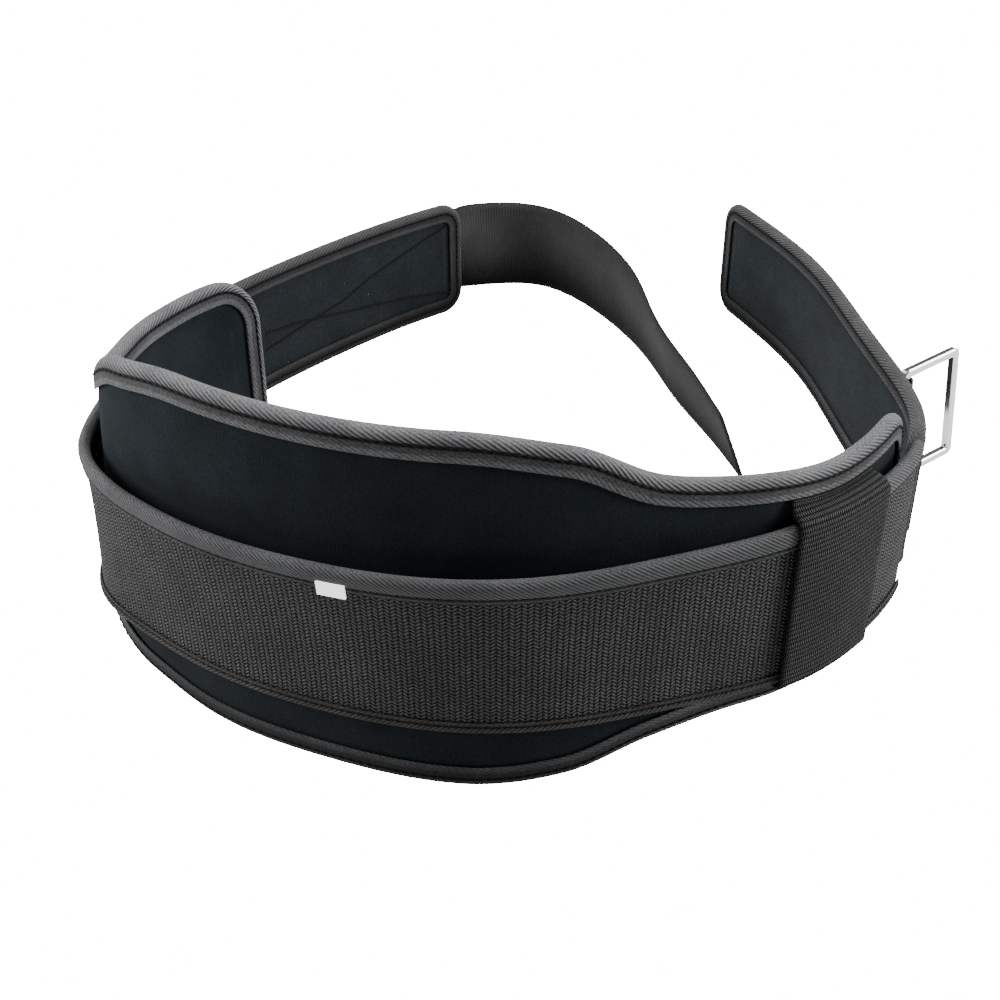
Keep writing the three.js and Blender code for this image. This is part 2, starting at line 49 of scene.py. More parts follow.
HEADINGS = [
    (-545, -142), (-480, -132.5), (-410, -127), (-350, -115), (-300, -100.5), (-260, -96), (-225, -86),
    (-190, -51), (-150, -40), (-100, -27), (-50, -16), (0, 1), (50, 16), (100, 20), (150, 41.5),
    (200, 58), (260, 89.5), (320, 95.5), (380, 96), (450, 107.5), (515, 110.5),
]
PLAN_START = (-1.5, 0.2)
FLOOR_RISE, FLOOR_RUN = 37.3, 388.0
CORNER_LEAN = {"middle": -225.0, "half": 69.0, "by": 5.7}
WEB_HEIGHT = 76.0
PAD_MIDDLE, PAD_HALF, PAD_HEIGHT, PAD_CORNER = -72.0, 288.0, 161.0, 26.0
PAD_FACE, PAD_THICK, PAD_TILT = 5.0, 5.6, 4.6
PAD_SHARES = [0, 0.2, 0.35, 0.48, 0.62, 0.8, 1]
PAD_TOPS = [0.806, 0.809, 0.769, 0.662, 0.614, 0.578, 0.574]
PAD_BOTTOMS = [-0.193, -0.198, -0.172, -0.097, -0.055, -0.055, -0.053]
PAD_END_RISE = 5.5
ACROSS = 14
PAD_LEAVES = {"right": 4.0, "left": 29.0, "from": 0.48, "power": 2.2}
TAPE, GAP = 0.9, 0.3
TAPE_LEAD = GAP + TAPE
PAD_LEG, PAD_TUCK, EDGE_ROUND = 9.0, 0.8, 1.2
PAD_REACH, PAD_DIP, DIP_FADE = 9.0, 0.5, 3.2
WEB_START, WEB_END, WEB_THICK = -356.0, 212.0, 2.2
WEB_SWELL, SWELL_HALF = 7.0, 197.0
PLAN_FROM, PLAN_TO = -580, 540


def natural_spline(xs, ys):
    # smooth curve through the points, straight at both ends
    xs, ys = np.array(xs, float), np.array(ys, float)
    n = len(xs)
    h = np.diff(xs)
    a = np.eye(n)
    b = np.zeros(n)
    for i in range(1, n - 1):
        a[i, i - 1:i + 2] = h[i - 1], 2 * (h[i - 1] + h[i]), h[i]
        b[i] = 6 * ((ys[i + 1] - ys[i]) / h[i] - (ys[i] - ys[i - 1]) / h[i - 1])
    m = np.linalg.solve(a, b)

    def value(x):
        x = np.clip(np.asarray(x, float), xs[0], xs[-1])
        k = np.clip(np.searchsorted(xs, x) - 1, 0, n - 2)
        p = (xs[k + 1] - x) / h[k]
        q = (x - xs[k]) / h[k]
        bend = ((p**3 - p) * m[k] + (q**3 - q) * m[k + 1]) * h[k] ** 2 / 6
        return p * ys[k] + q * ys[k + 1] + bend

    return value


def smooth_rows(xs, ys):
    # smooth curve through the points that never swings past them
    xs, ys = np.array(xs, float), np.array(ys, float)
    slope = np.diff(ys) / np.diff(xs)
    g = np.zeros(len(xs))
    for i in range(1, len(xs) - 1):
        a, b = slope[i - 1], slope[i]
        g[i] = 2 * a * b / (a + b) if a * b > 0 else 0.0

    def value(x):
        x = np.clip(np.asarray(x, float), xs[0], xs[-1])
        k = np.clip(np.searchsorted(xs, x) - 1, 0, len(xs) - 2)
        h = xs[k + 1] - xs[k]
        u = (x - xs[k]) / h
        p = u * u * (3 - 2 * u)
        return ys[k] * (1 - p) + ys[k + 1] * p + h * u * (1 - u) * (g[k] * (1 - u) - g[k + 1] * u)

    return value


heading_of = natural_spline(*zip(*HEADINGS))
plan_s = np.arange(PLAN_FROM, PLAN_TO + 1, 1.0)
mid_turn = np.radians(heading_of(plan_s[:-1] + 0.5))
plan_x = np.concatenate([[0], np.cumsum(np.cos(mid_turn))])
plan_y = np.concatenate([[0], np.cumsum(np.sin(mid_turn))])
plan_x += PLAN_START[0] - plan_x[-PLAN_FROM]
plan_y += PLAN_START[1] - plan_y[-PLAN_FROM]
tilt = math.atan2(FLOOR_RISE, FLOOR_RUN)
band_shift = np.zeros(3)


def band_raw(s, off, z):
    # point of the band before it is set down: along s, off outward, z up its height
    s, off, z = np.broadcast_arrays(np.asarray(s, float), off, z)
    turn = np.radians(heading_of(s))
    near = np.clip(1 - ((s - CORNER_LEAN["middle"]) / CORNER_LEAN["half"]) ** 2, 0, None)
    off = off - CORNER_LEAN["by"] * near**2 * z / WEB_HEIGHT
    x = np.interp(s, plan_s, plan_x) + off * np.sin(turn)
    y = np.interp(s, plan_s, plan_y) - off * np.cos(turn)
    return np.stack([x, y, z], -1)


def band_point(s, off, z):
    return settle(band_raw(s, off, z))


def settle(p):
    # the whole belt leans onto its lower edge, in metres and in the frame's place
    y = p[..., 1] * math.cos(tilt) + p[..., 2] * math.sin(tilt)
    z = -p[..., 1] * math.sin(tilt) + p[..., 2] * math.cos(tilt)
    return (np.stack([p[..., 0], y, z], -1) + band_shift) * MM


def web_lift(s, z):
    # how far the web stands off the pad, most at the middle of its upper edge
    swell = WEB_SWELL * np.clip(1 - ((s - PAD_MIDDLE) / SWELL_HALF) ** 2, 0, None)
    return swell * (np.asarray(z) / WEB_HEIGHT) ** 2


# the web's box ties the plan line to the frame
web_box = [np.array(c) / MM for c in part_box("web_panel")]
web_s = np.linspace(WEB_START, WEB_END, 569)
web_high = WEB_HEIGHT - TAPE_LEAD
web_out = web_lift(web_s, web_high)
web_rows = [
    (0.0, TAPE_LEAD), (-WEB_THICK, TAPE_LEAD), (web_out, web_high), (web_out - WEB_THICK, web_high),
]
web_cloud = np.concatenate([band_point(web_s, off, z) for off, z in web_rows]) / MM
band_shift = (web_box[0] + web_box[1]) / 2 - (web_cloud.min(0) + web_cloud.max(0)) / 2


def pad_share(s):
    return np.abs(s - PAD_MIDDLE) / PAD_HALF


pad_top_share = smooth_rows(PAD_SHARES, PAD_TOPS)
pad_bottom_share = smooth_rows(PAD_SHARES, PAD_BOTTOMS)


def pad_top(s):
    side = (s - PAD_MIDDLE) / PAD_HALF
    raised = PAD_END_RISE * np.clip(side - 0.5, 0, None) * 2
    return PAD_HEIGHT * pad_top_share(np.abs(side)) - PAD_TILT * side + raised


def pad_bottom(s):
    return PAD_HEIGHT * pad_bottom_share(pad_share(s)) - PAD_TILT * (s - PAD_MIDDLE) / PAD_HALF


def pad_shift(s):
    # the pad's ends leave the band and stand further in
    far = np.clip((pad_share(s) - PAD_LEAVES["from"]) / (1 - PAD_LEAVES["from"]), 0, 1)
    return np.where(s > PAD_MIDDLE, PAD_LEAVES["right"], PAD_LEAVES["left"]) * far ** PAD_LEAVES["power"]


def outline_path(left, right, radius, top_at, bottom_at, step):
    # rounded outline in (s, height) as two matching halves, with the inward direction at each point
    turns = np.linspace(0, math.pi / 2, 11)[:-1]
    left_s = left + radius - radius * np.cos(turns)
    left_rise = radius * (1 - np.sin(turns))
    count = int((right - left - 2 * radius) / step) + 1
    mid_s = np.linspace(left + radius, right - radius, count)
    s = np.concatenate([left_s, mid_s, (left + right - left_s)[::-1]])
    rise = np.concatenate([left_rise, 0 * mid_s, left_rise[::-1]])
    top = np.stack([s, top_at(s) - rise], -1)
    bottom = np.stack([s, bottom_at(s) + rise], -1)
    share = np.linspace(0, 1, ACROSS + 1)[1:-1, None]
    right_side = top[-1] * (1 - share) + bottom[-1] * share
    left_side = bottom[0] * (1 - share) + top[0] * share
    ring = np.concatenate([top, right_side, bottom[::-1], left_side])
    ahead = np.roll(ring, -1, 0) - ring
    ahead /= np.linalg.norm(ahead, axis=1)[:, None]
    along = ahead + np.roll(ahead, 1, 0)
    along /= np.linalg.norm(along, axis=1)[:, None]
    inward = np.stack([along[:, 1], -along[:, 0]], -1)
    return ring, inward


def new_piece(name, points, faces, face_uvs, material):
    mesh = bpy.data.meshes.new(name)
    mesh.from_pydata([tuple(p) for p in points], [], faces)
    layer = mesh.uv_layers.new(name="cloth")
    layer.data.foreach_set("uv", np.array(face_uvs, dtype=np.float32).ravel())
    mesh.polygons.foreach_set("use_smooth", [True] * len(mesh.polygons))
    mesh.materials.append(material)
    mesh.validate()
    mesh.update()
    obj = bpy.data.objects.new(name, mesh)
    bpy.context.collection.objects.link(obj)
    volume = sum(p.area * p.normal.dot(p.center) for p in mesh.polygons)
    if volume < 0:
        mesh.flip_normals()
    return obj


def finish_piece(obj, slot, body, *nodes):
    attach(obj, body)
    if nodes:
        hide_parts(*nodes)


def padded_panel(name, ring, inward, inset, reach, faces, edges, dip, shift, material):
    # rings from the outer face over the thin edge to the inner face, then rows across each face
    count = len(ring)
    half = count // 2 - (ACROSS - 1)
    steps = [reach * share for share in (0, 0.13, 0.33, 0.6, 1)]
    outer = [(inset + d, faces[0] - dip * math.exp(-d / DIP_FADE)) for d in steps[::-1]]
    inner = [(inset + d, faces[1] + dip * math.exp(-d / DIP_FADE)) for d in steps]
    rows = outer + [(0, edges[0]), (0, edges[1])] + inner
    points, uvs = [], []
    for d, off in rows:
        s = ring[:, 0] + (d + TAPE_LEAD) * inward[:, 0]
        z = ring[:, 1] + (d + TAPE_LEAD) * inward[:, 1]
        points.append(band_point(s, off - shift(s), z))
        uvs.append(np.stack([s, z], -1))
    quads = []
    for k in range(len(rows) - 1):
        for i in range(count):
            j = (i + 1) % count
            quads.append((k * count + i, k * count + j, (k + 1) * count + j, (k + 1) * count + i))
    low = half + ACROSS - 1
    for end, off in ((0, faces[0]), (len(rows) - 1, faces[1])):
        base = sum(len(p) for p in points)
        edge = end * count
        a, b = uvs[end][1:half - 1], uvs[end][low + 1:low + half - 1][::-1]
        for r in range(1, ACROSS):
            sz = a + (b - a) * r / ACROSS
            points.append(band_point(sz[:, 0], off - shift(sz[:, 0]), sz[:, 1]))
            uvs.append(sz)

        def spot(r, j):
            # the rows across a face start and end on its rim
            if r == 0:
                return edge + j
            if r == ACROSS:
                return edge + low + half - 1 - j
            if j == 0:
                return edge + count - r
            if j == half - 1:
                return edge + half + r - 1
            return base + (r - 1) * (half - 2) + j - 1

        for r in range(ACROSS):
            for j in range(half - 1):
                quad = (spot(r, j + 1), spot(r, j), spot(r + 1, j), spot(r + 1, j + 1))
                quads.append(quad if end == 0 else quad[::-1])
    all_uv = np.concatenate(uvs)
    face_uvs = [all_uv[v] * MM for q in quads for v in q]
    return new_piece(name, np.concatenate(points), quads, face_uvs, material)


def node_group(name, inputs, outputs):
    tree = bpy.data.node_groups.new(name, "ShaderNodeTree")
    for label, kind, value in inputs:
        socket = tree.interface.new_socket(name=label, in_out="INPUT", socket_type=kind)
        if value is not None:
            socket.default_value = value
    for label, kind in outputs:
        tree.interface.new_socket(name=label, in_out="OUTPUT", socket_type=kind)
    return tree, tree.nodes.new("NodeGroupInput"), tree.nodes.new("NodeGroupOutput")


def math_node(tree, kind, a, b=None, c=None):
    node = tree.nodes.new("ShaderNodeMath")
    node.operation = kind
    for i, v in enumerate((a, b, c)):
        if v is None:
            continue
        if isinstance(v, (int, float)):
            node.inputs[i].default_value = v
        else:
            tree.links.new(v, node.inputs[i])
    return node.outputs[0]


def between(tree, value, low, high):
    return math_node(tree, "MINIMUM", math_node(tree, "MAXIMUM", value, low), high)


def grey_ramp(tree, fac, stops):
    node = tree.nodes.new("ShaderNodeValToRGB")
    ramp = node.color_ramp
    while len(ramp.elements) < len(stops):
        ramp.elements.new(0.5)
    for element, (place, grey) in zip(ramp.elements, stops):
        element.position = place
        element.color = (grey, grey, grey, 1)
    tree.links.new(fac, node.inputs[0])
    return node.outputs[0]


def mix_colour(tree, fac, a, b):
    node = tree.nodes.new("ShaderNodeMix")
    node.data_type = "RGBA"
    for socket, v in ((node.inputs[0], fac), (node.inputs[6], a), (node.inputs[7], b)):
        if isinstance(v, (int, float, tuple)):
            socket.default_value = v
        else:
            tree.links.new(v, socket)
    return node.outputs[2]


# cloth coordinates: u and v in millimetres
cloth_tree, _, cloth_out = node_group(
    "cloth_mm", [], [("U", "NodeSocketFloat"), ("V", "NodeSocketFloat")])
cloth_uv = cloth_tree.nodes.new("ShaderNodeUVMap")
cloth_uv.uv_map = "cloth"
cloth_split = cloth_tree.nodes.new("ShaderNodeSeparateXYZ")
cloth_tree.links.new(cloth_uv.outputs[0], cloth_split.inputs[0])
for axis in range(2):
    cloth_length = math_node(cloth_tree, "MULTIPLY", cloth_split.outputs[axis], 1 / MM)
    cloth_tree.links.new(cloth_length, cloth_out.inputs[axis])

# cloth colour: dark gaps and lighter yarns by height, uneven wear, and pale specks of lint
colour_tree, colour_in, colour_out = node_group("cloth_colour", [
    ("Height", "NodeSocketFloat", 0.5), ("Dark", "NodeSocketColor", None), ("Light", "NodeSocketColor", None),
    ("Wear", "NodeSocketFloat", 0.5), ("Lint", "NodeSocketFloat", 0.5)], [("Color", "NodeSocketColor")])
colour_place = colour_tree.nodes.new("ShaderNodeTexCoord")
colour_noise = colour_tree.nodes.new("ShaderNodeTexNoise")
colour_noise.inputs["Scale"].default_value = 45.0
colour_noise.inputs["Detail"].default_value = 5.0
colour_tree.links.new(colour_place.outputs["Object"], colour_noise.inputs["Vector"])
colour_base = mix_colour(
    colour_tree, colour_in.outputs["Height"], colour_in.outputs["Dark"], colour_in.outputs["Light"])
colour_swing = math_node(colour_tree, "MULTIPLY_ADD", colour_noise.outputs[0], 2.0, -1.0)
colour_tone = math_node(colour_tree, "MULTIPLY_ADD", colour_swing, colour_in.outputs["Wear"], 1.0)
colour_scaled = colour_tree.nodes.new("ShaderNodeVectorMath")
colour_scaled.operation = "SCALE"
colour_tree.links.new(colour_base, colour_scaled.inputs[0])
colour_tree.links.new(colour_tone, colour_scaled.inputs["Scale"])
colour_cells = colour_tree.nodes.new("ShaderNodeTexVoronoi")
colour_cells.inputs["Scale"].default_value = 170.0
colour_tree.links.new(colour_place.outputs["Object"], colour_cells.inputs["Vector"])
colour_dot = math_node(colour_tree, "LESS_THAN", colour_cells.outputs["Distance"], 0.06)
colour_pick = colour_tree.nodes.new("ShaderNodeSeparateColor")
colour_tree.links.new(colour_cells.outputs["Color"], colour_pick.inputs[0])
colour_few = math_node(colour_tree, "LESS_THAN", colour_pick.outputs[0],
                       math_node(colour_tree, "MULTIPLY", colour_in.outputs["Lint"], 0.06))
colour_speck = math_node(colour_tree, "MULTIPLY", colour_dot, colour_few)
colour_tree.links.new(mix_colour(colour_tree, colour_speck, colour_scaled.outputs[0], (0.2, 0.2, 0.2, 1)),
                      colour_out.inputs["Color"])


def new_material(name, roughness, sheen, specular=0.3):
    material = bpy.data.materials.new(name)
    material.use_nodes = True
    tree = material.node_tree
    shader = tree.nodes["Principled BSDF"]
    shader.inputs["Roughness"].default_value = roughness
    shader.inputs["Sheen Weight"].default_value = sheen
    shader.inputs["Sheen Roughness"].default_value = 0.5
    shader.inputs["Specular IOR Level"].default_value = specular
    return material, tree, shader


def add_group(tree, group):
    node = tree.nodes.new("ShaderNodeGroup")
    node.node_tree = group
    return node


def add_bump(tree, shader, height, strength, distance):
    bump = tree.nodes.new("ShaderNodeBump")
    bump.inputs["Strength"].default_value = strength
    bump.inputs["Distance"].default_value = distance
    tree.links.new(height, bump.inputs["Height"])
    tree.links.new(bump.outputs[0], shader.inputs["Normal"])


def object_noise(tree, scale, detail):
    place = tree.nodes.new("ShaderNodeTexCoord")
    noise = tree.nodes.new("ShaderNodeTexNoise")
    noise.inputs["Scale"].default_value = scale
    noise.inputs["Detail"].default_value = detail
    tree.links.new(place.outputs["Object"], noise.inputs["Vector"])
    return noise.outputs[0]


def colour_cloth(tree, shader, height, dark, light, wear, lint):
    node = add_group(tree, colour_tree)
    tree.links.new(height, node.inputs["Height"])
    node.inputs["Dark"].default_value = (*dark, 1)
    node.inputs["Light"].default_value = (*light, 1)
    node.inputs["Wear"].default_value = wear
    node.inputs["Lint"].default_value = lint
    tree.links.new(node.outputs["Color"], shader.inputs["Base Color"])


def knit_material(name, dark, light, pitch, strength, fuzz, sheen):
    material, tree, shader = new_material(name, 0.95, sheen, 0.05)
    mm = add_group(tree, cloth_tree)
    wale = math_node(tree, "SINE", math_node(tree, "MULTIPLY", mm.outputs["U"], 2 * math.pi / pitch))
    height = math_node(tree, "MULTIPLY_ADD", wale, 0.12, object_noise(tree, fuzz, 6.0))
    colour_cloth(tree, shader, height, dark, light, 0.5, 0.5)
    add_bump(tree, shader, height, strength, 0.0004)
    return material


pad_cloth = knit_material("pad_cloth", (0.006, 0.0085, 0.0105), (0.021, 0.027, 0.032), 1.1, 0.3, 900.0, 0.03)
pad_ring, pad_inward = outline_path(
    PAD_MIDDLE - PAD_HALF, PAD_MIDDLE + PAD_HALF, PAD_CORNER,
    pad_top, pad_bottom, 5.0)
pad_faces = (-PAD_FACE, -PAD_FACE - PAD_THICK)
pad_edges = (-PAD_FACE - EDGE_ROUND, -PAD_FACE - PAD_THICK + EDGE_ROUND)
pad_inset = PAD_LEG + PAD_TUCK
back_pad = padded_panel(
    "back_pad_cloth", pad_ring, pad_inward, pad_inset, PAD_REACH, pad_faces, pad_edges, PAD_DIP,
    pad_shift, pad_cloth)
finish_piece(back_pad, "pad_cloth", "belt", "back_pad")

# Back pad binding
# Twill tape folded over the whole edge of the pad and sewn through with one row of stitches. Its roll is
# round and its flat leg ends in a pale selvedge.
STITCH_PITCH, STITCH_LENGTH, STITCH_RADIUS = 3.9, 2.7, 0.4
PAD_SEAM = 4.2
FOLD_CROWN, FOLD_GROOVE, STITCH_OUT = 11, 4, 0.12


def fold_section(leg, seam, inset, faces, edges):
    # (depth from the outer edge, offset): outer leg, stitch groove, half of the roll, then the back
    lead = TAPE_LEAD
    out = edges[0] + (faces[0] - edges[0]) * leg / inset
    mid = (edges[0] + edges[1]) / 2
    bulge = edges[0] + lead + 0.75 - mid
    rows = [
        (leg + lead, out + GAP), (leg + lead + 0.15, out + 0.75 * lead), (leg + lead - 0.3, out + lead + 0.05),
        (seam + 1.6, out + lead), (seam + 0.5, out + 0.8 * lead), (seam - 0.2, out + 0.75 * lead),
    ]
    for turn in np.radians([80, 62, 45, 28, 12, 0]):
        rows.append((-0.35 + (seam - 0.3) * (1 - math.cos(turn)), mid + bulge * math.sin(turn)))
    back = [(d, mid * 2 - o) for d, o in rows[:-1]][::-1]
    inside = [(TAPE + 0.1, edges[1] - GAP), (TAPE + 0.1, edges[0] + GAP)]
    return rows + back + inside


def fold_widths(section, crown):
    # distance from the nearer leg's cut edge, up to the crown and down again
    sec = np.array(section + [section[0]])
    run = np.concatenate([[0], np.cumsum(np.linalg.norm(np.diff(sec, axis=0), axis=1))])
    return np.maximum(np.minimum(run, 2 * run[crown] - run), 0) - run[1]


def tape_round(name, ring, inward, section, crown, shift, material):
    count, m = len(ring), len(section)
    run = np.concatenate([[0], np.cumsum(np.linalg.norm(np.roll(ring, -1, 0) - ring, axis=1))])
    width = fold_widths(section, crown)
    points = []
    for d, off in section:
        s = ring[:, 0] + d * inward[:, 0]
        z = ring[:, 1] + d * inward[:, 1]
        points.append(band_point(s, off - shift(s), z))
    points = np.stack(points, 1).reshape(-1, 3)
    quads, uvs = [], []
    for i in range(count):
        j = (i + 1) % count
        for k in range(m):
            n = (k + 1) % m
            quads.append((i * m + k, j * m + k, j * m + n, i * m + n))
            u0, u1 = run[i], run[i + 1]
            uvs += [(u0, width[k]), (u1, width[k]), (u1, width[k + 1]), (u0, width[k + 1])]
    return new_piece(name, points, quads, np.array(uvs) * MM, material)


# twill tape: slanting lines on the roll, a dark strip, a needle groove darkened with painted shade, a speckled
# cut edge
twill_tree, twill_in, twill_out = node_group("twill", [
    ("U", "NodeSocketFloat", 0.0), ("V", "NodeSocketFloat", 0.0), ("Slope", "NodeSocketFloat", 0.25),
    ("Pitch", "NodeSocketFloat", 1.6), ("Seam", "NodeSocketFloat", 3.6)], [("Height", "NodeSocketFloat")])
twill_run = math_node(twill_tree, "MULTIPLY_ADD", twill_in.outputs["U"], twill_in.outputs["Slope"],
                      twill_in.outputs["V"])
twill_phase = math_node(twill_tree, "DIVIDE", twill_run, twill_in.outputs["Pitch"])
twill_wave = math_node(twill_tree, "SINE", math_node(twill_tree, "MULTIPLY", twill_phase, 2 * math.pi))
twill_share = math_node(twill_tree, "DIVIDE", twill_in.outputs["V"],
                        math_node(twill_tree, "MULTIPLY", twill_in.outputs["Seam"], 4.0))
# tones across the tape: pale selvedge, darker strip, then painted shade, near black in the needle groove and
# fading out over the roll's lower side
twill_tones_and_groove_shade = grey_ramp(twill_tree, twill_share, [
    (0.0, 0.62), (0.1, 0.55), (0.13, 0.3), (0.21, 0.22), (0.235, 0), (0.265, 0), (0.3, 0.45), (0.4, 0.65)])
twill_lines = grey_ramp(twill_tree, twill_share, [
    (0.0, 0.5), (0.11, 0.4), (0.13, 0.1), (0.27, 0.1), (0.31, 1)])
twill_fade = between(
    twill_tree, math_node(twill_tree, "MULTIPLY_ADD", twill_in.outputs["V"], -0.28, 3.3), 0.3, 1.0)
twill_power = math_node(twill_tree, "MULTIPLY", twill_lines, twill_fade)
twill_rough = math_node(twill_tree, "SUBTRACT", 1.3, twill_power)
twill_swing = math_node(twill_tree, "MULTIPLY_ADD", object_noise(twill_tree, 1300.0, 3.0), 2.0, -1.0)
twill_grain = math_node(twill_tree, "MULTIPLY", twill_swing, twill_rough)
twill_speckle = math_node(twill_tree, "MULTIPLY", twill_grain, twill_tones_and_groove_shade)
twill_slant = math_node(twill_tree, "MULTIPLY", twill_wave, twill_power)
twill_relief = math_node(twill_tree, "MULTIPLY_ADD", twill_slant, 0.4, twill_speckle)
# painted shade: the tape's height, and so its colour, darkens towards the floor, where less light reaches it
twill_place = twill_tree.nodes.new("ShaderNodeTexCoord")
twill_axes = twill_tree.nodes.new("ShaderNodeSeparateXYZ")
twill_tree.links.new(twill_place.outputs["Object"], twill_axes.inputs[0])
twill_painted_floor_shade = between(
    twill_tree, math_node(twill_tree, "MULTIPLY_ADD", twill_axes.outputs[2], 30.0, 0.05), 0.35, 1.0)
twill_sum = math_node(twill_tree, "ADD", twill_tones_and_groove_shade, twill_relief)
twill_tree.links.new(math_node(twill_tree, "MULTIPLY", twill_sum, twill_painted_floor_shade), twill_out.inputs["Height"])


def twill_material(name, dark, light, slope, pitch, seam):
    material, tree, shader = new_material(name, 0.85, 0.05, 0.08)
    mm = add_group(tree, cloth_tree)
    twill = add_group(tree, twill_tree)
    for label in ("U", "V"):
        tree.links.new(mm.outputs[label], twill.inputs[label])
    for label, value in (("Slope", slope), ("Pitch", pitch), ("Seam", seam)):
        twill.inputs[label].default_value = value
    colour_cloth(tree, shader, twill.outputs["Height"], dark, light, 0.45, 0.8)
    add_bump(tree, shader, twill.outputs["Height"], 0.6, 0.0005)
    return material


pad_tape = twill_material("binding_tape", (0.004, 0.004, 0.004), (0.215, 0.218, 0.226), 0.5, 1.6, 6.0)
pad_fold = fold_section(PAD_LEG, PAD_SEAM, pad_inset, pad_faces, pad_edges)
pad_binding = tape_round("back_pad_tape", pad_ring, pad_inward, pad_fold, FOLD_CROWN, pad_shift, pad_tape)
finish_piece(pad_binding, "binding_tape", "belt", "back_pad_binding")

thread, _, thread_shader = new_material("thread", 0.7, 0.0, 0.1)
thread_shader.inputs["Base Color"].default_value = (0.006, 0.006, 0.007, 1)


def stitch_tree():
    # thread laid along a curve: one small capsule per stitch, turned to the curve, then made real
    tree = bpy.data.node_groups.new("stitch_row", "GeometryNodeTree")
    tree.interface.new_socket(name="Geometry", in_out="INPUT", socket_type="NodeSocketGeometry")
    for label, value in (("Pitch", 0.004), ("Length", 0.0027), ("Radius", 0.0003)):
        socket = tree.interface.new_socket(name=label, in_out="INPUT", socket_type="NodeSocketFloat")
        socket.default_value = value
    tree.interface.new_socket(name="Thread", in_out="INPUT", socket_type="NodeSocketMaterial")
    tree.interface.new_socket(name="Geometry", in_out="OUTPUT", socket_type="NodeSocketGeometry")
    source = tree.nodes.new("NodeGroupInput")
    sink = tree.nodes.new("NodeGroupOutput")
    spread = tree.nodes.new("GeometryNodeCurveToPoints")
    spread.mode = "LENGTH"
    tree.links.new(source.outputs["Geometry"], spread.inputs["Curve"])
    tree.links.new(source.outputs["Pitch"], spread.inputs["Length"])
    bead = tree.nodes.new("GeometryNodeMeshUVSphere")
    bead.inputs["Segments"].default_value = 6
    bead.inputs["Rings"].default_value = 4
    bead.inputs["Radius"].default_value = 1.0
    size = tree.nodes.new("ShaderNodeCombineXYZ")
    half = tree.nodes.new("ShaderNodeMath")
    half.operation = "MULTIPLY"
    half.inputs[1].default_value = 0.5
    tree.links.new(source.outputs["Length"], half.inputs[0])
    tree.links.new(source.outputs["Radius"], size.inputs[0])
    tree.links.new(source.outputs["Radius"], size.inputs[1])
    tree.links.new(half.outputs[0], size.inputs[2])
    place = tree.nodes.new("GeometryNodeInstanceOnPoints")
    tree.links.new(spread.outputs["Points"], place.inputs["Points"])
    tree.links.new(bead.outputs["Mesh"], place.inputs["Instance"])
    tree.links.new(spread.outputs["Rotation"], place.inputs["Rotation"])
    tree.links.new(size.outputs[0], place.inputs["Scale"])
    real = tree.nodes.new("GeometryNodeRealizeInstances")
    tree.links.new(place.outputs[0], real.inputs[0])
    dress = tree.nodes.new("GeometryNodeSetMaterial")
    tree.links.new(real.outputs[0], dress.inputs["Geometry"])
    tree.links.new(source.outputs["Thread"], dress.inputs["Material"])
    tree.links.new(dress.outputs[0], sink.inputs[0])
    return tree


stitch_rows = stitch_tree()


def sew(name, runs, pitch, length, radius, material, slot, closed=False, body="belt"):
    curve = bpy.data.curves.new(name + "_line", "CURVE")
    curve.dimensions = "3D"
    for points in runs:
        spline = curve.splines.new("POLY")
        spline.points.add(len(points) - 1)
        spline.points.foreach_set("co", np.concatenate([points, np.ones((len(points), 1))], 1).ravel())
        spline.use_cyclic_u = closed
    line = bpy.data.objects.new(name + "_line", curve)
    bpy.context.collection.objects.link(line)
    modifier = line.modifiers.new("stitches", "NODES")
    modifier.node_group = stitch_rows
    values = {"Pitch": pitch * MM, "Length": length * MM, "Radius": radius * MM, "Thread": material}
    for item in stitch_rows.interface.items_tree:
        if item.item_type == "SOCKET" and item.in_out == "INPUT" and item.name in values:
            modifier[item.identifier] = values[item.name]
    bpy.context.view_layer.update()
    ready = line.evaluated_get(bpy.context.evaluated_depsgraph_get())
    mesh = bpy.data.meshes.new_from_object(ready)
    mesh.name = name
    line.modifiers.remove(modifier)
    bpy.data.objects.remove(line)
    obj = bpy.data.objects.new(name, mesh)
    bpy.context.collection.objects.link(obj)
    finish_piece(obj, slot, body)
    return obj


def tape_seams(ring, inward, depth, offset_out, offset_in, shift):
    lines = []
    for off in (offset_out, offset_in):
        s = ring[:, 0] + depth * inward[:, 0]
        z = ring[:, 1] + depth * inward[:, 1]
        lines.append(band_point(s, off - shift(s), z))
    return lines


pad_seam_out = pad_fold[FOLD_GROOVE][1] + STITCH_OUT
pad_seam_in = pad_faces[0] + pad_faces[1] - pad_seam_out
sew("back_pad_stitches", tape_seams(pad_ring, pad_inward, PAD_SEAM, pad_seam_out, pad_seam_in, pad_shift),
    STITCH_PITCH, STITCH_LENGTH, STITCH_RADIUS, thread, "binding_tape", True)

# Web
# Wide herringbone webbing round the outside of the pad. Its upper edge stands out from the pad.


def run_widths(section):
    sec = np.array(section + [section[0]])
    return np.concatenate([[0], np.cumsum(np.linalg.norm(np.diff(sec, axis=0), axis=1))])


def sweep_piece(name, loops, stations, widths, material):
    # one closed section joined from loop to loop, with flat ends
    m = len(loops[0])
    quads, uvs = [], []
    for i in range(len(loops) - 1):
        u0, u1 = stations[i], stations[i + 1]
        for k in range(m):
            n = (k + 1) % m
            quads.append((i * m + k, (i + 1) * m + k, (i + 1) * m + n, i * m + n))
            uvs += [(u0, widths[k]), (u1, widths[k]), (u1, widths[k + 1]), (u0, widths[k + 1])]
    last = (len(loops) - 1) * m
    quads.append(tuple(range(m)))
    uvs += [(stations[0], widths[k]) for k in range(m)]
    quads.append(tuple(last + k for k in reversed(range(m))))
    uvs += [(stations[-1], widths[k]) for k in reversed(range(m))]
    return new_piece(name, np.concatenate(loops), quads, np.array(uvs) * MM, material)


